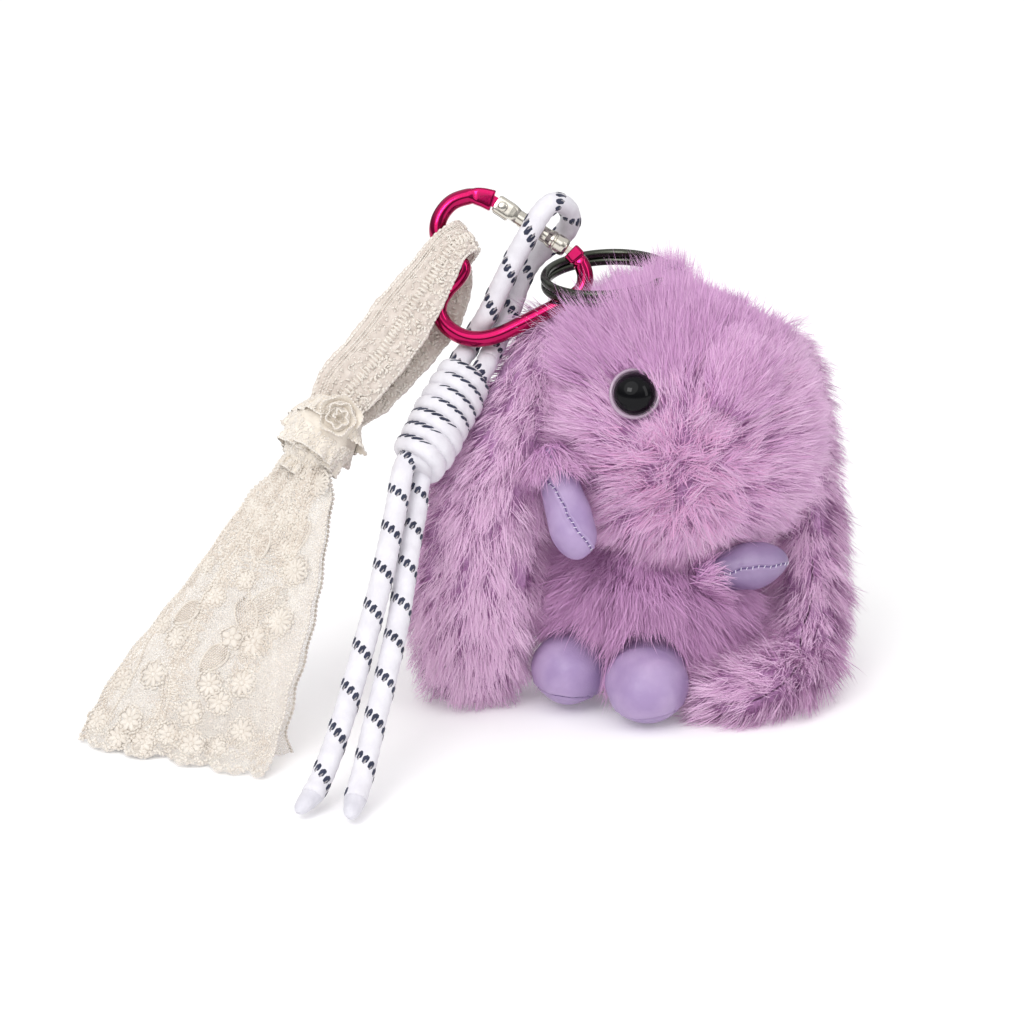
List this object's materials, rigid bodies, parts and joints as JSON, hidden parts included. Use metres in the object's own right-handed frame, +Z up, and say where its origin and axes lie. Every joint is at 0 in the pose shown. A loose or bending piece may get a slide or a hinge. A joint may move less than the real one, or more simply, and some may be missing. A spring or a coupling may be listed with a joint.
{
  "type": "plush keychain",
  "caption": "Fluffy lop-eared plush rabbit on a split ring, with a heart-shaped snap hook that carries a knotted cord charm and a lace ribbon charm.",
  "frame": {"origin": "a point of the flat patch under the rabbit's seat, 2.8 mm from the patch's middle", "axes": "+Z up out of the flat patch, -Y the way the rabbit faces, +X to the viewer's right"},
  "size_m": [0.2235, 0.1548, 0.1504],
  "materials": {
    "fur": "long-pile faux fur, matt with a soft sheen on the tips",
    "filling": "loose white polyester fibre",
    "leatherette": "soft satin leatherette with a fine grain",
    "eye": "high gloss black",
    "clear_plastic": "clear plastic, tinted by what is behind it",
    "webbing": "woven",
    "gunmetal": "dark polished plating",
    "anodised": "magenta anodised, glossy",
    "nickel": "polished nickel",
    "steel": "plain steel",
    "cord": "braided polyester, matt",
    "lace": "soft cotton lace, matt"
  },
  "bodies": {
    "plush": {"head_cover": "fur", "head_filling": "filling", "body_cover": "fur", "body_filling": "filling", "eye_left": "eye", "eye_left_rim": "clear_plastic", "eye_left_washer": "steel", "eye_right": "eye", "eye_right_rim": "clear_plastic", "eye_right_washer": "steel", "arm_left_cover": "leatherette", "arm_left_filling": "filling", "arm_right_cover": "leatherette", "arm_right_filling": "filling", "foot_left_cover": "leatherette", "foot_left_filling": "filling", "foot_right_cover": "leatherette", "foot_right_filling": "filling", "hanging_loop": "webbing"},
    "ear_left": {"ear_left_front_panel": "fur", "ear_left_back_panel": "fur"},
    "ear_right": {"ear_right_front_panel": "fur", "ear_right_back_panel": "fur"},
    "ring": {"key_ring": "gunmetal"},
    "hook": {"carabiner_body": "anodised", "gate_rivet": "steel", "cord_loop": "cord", "cord_knot": "cord"},
    "hook_gate": {"gate": "nickel", "gate_plunger": "steel", "gate_spring": "steel"},
    "cord_tails": {"cord_tail_left": "cord", "cord_tail_right": "cord", "cord_tip_left": "cord", "cord_tip_right": "cord"},
    "lace_charm": {"lace_loop": "lace", "lace_knot": "lace", "lace_tail": "lace"}
  },
  "joints": [
    {"name": "ring_swing", "type": "hinge", "parent": "plush", "child": "ring", "pos_m": [0.00985, -0.004, 0.1255], "axis": [0, 1, 0], "range_deg": [0, 60]},
    {"name": "hook_swing", "type": "hinge", "parent": "ring", "child": "hook", "pos_m": [-0.0272, -0.0085, 0.122], "axis": [0, 1, 0], "range_deg": [0, 45]},
    {"name": "gate_hinge", "type": "hinge", "parent": "hook", "child": "hook_gate", "pos_m": [-0.0402, -0.0019, 0.1449], "axis": [0, 0.9563, -0.2924], "range_deg": [0, 14], "stiffness_Nm_per_rad": 0.03, "springref_deg": -28.65},
    {"name": "cord_tails_lift", "type": "hinge", "parent": "hook", "child": "cord_tails", "pos_m": [-0.069, -0.0448, 0.0795], "axis": [-0.9817, 0.1903, 0], "range_deg": [0, 45]},
    {"name": "lace_swing", "type": "hinge", "parent": "hook", "child": "lace_charm", "pos_m": [-0.0562, -0.0057, 0.1327], "axis": [-0.5904, 0.2402, 0.7705], "range_deg": [0, 14]},
    {"name": "ear_left_lift", "type": "hinge", "parent": "plush", "child": "ear_left", "pos_m": [-0.0255, -0.005, 0.112], "axis": [0.8, 0.6, 0], "range_deg": [0, 16], "stiffness_Nm_per_rad": 0.004, "springref_deg": -17.19},
    {"name": "ear_right_lift", "type": "hinge", "parent": "plush", "child": "ear_right", "pos_m": [0.039, 0.02, 0.1023], "axis": [0, -1, 0], "range_deg": [0, 70]}
  ]
}
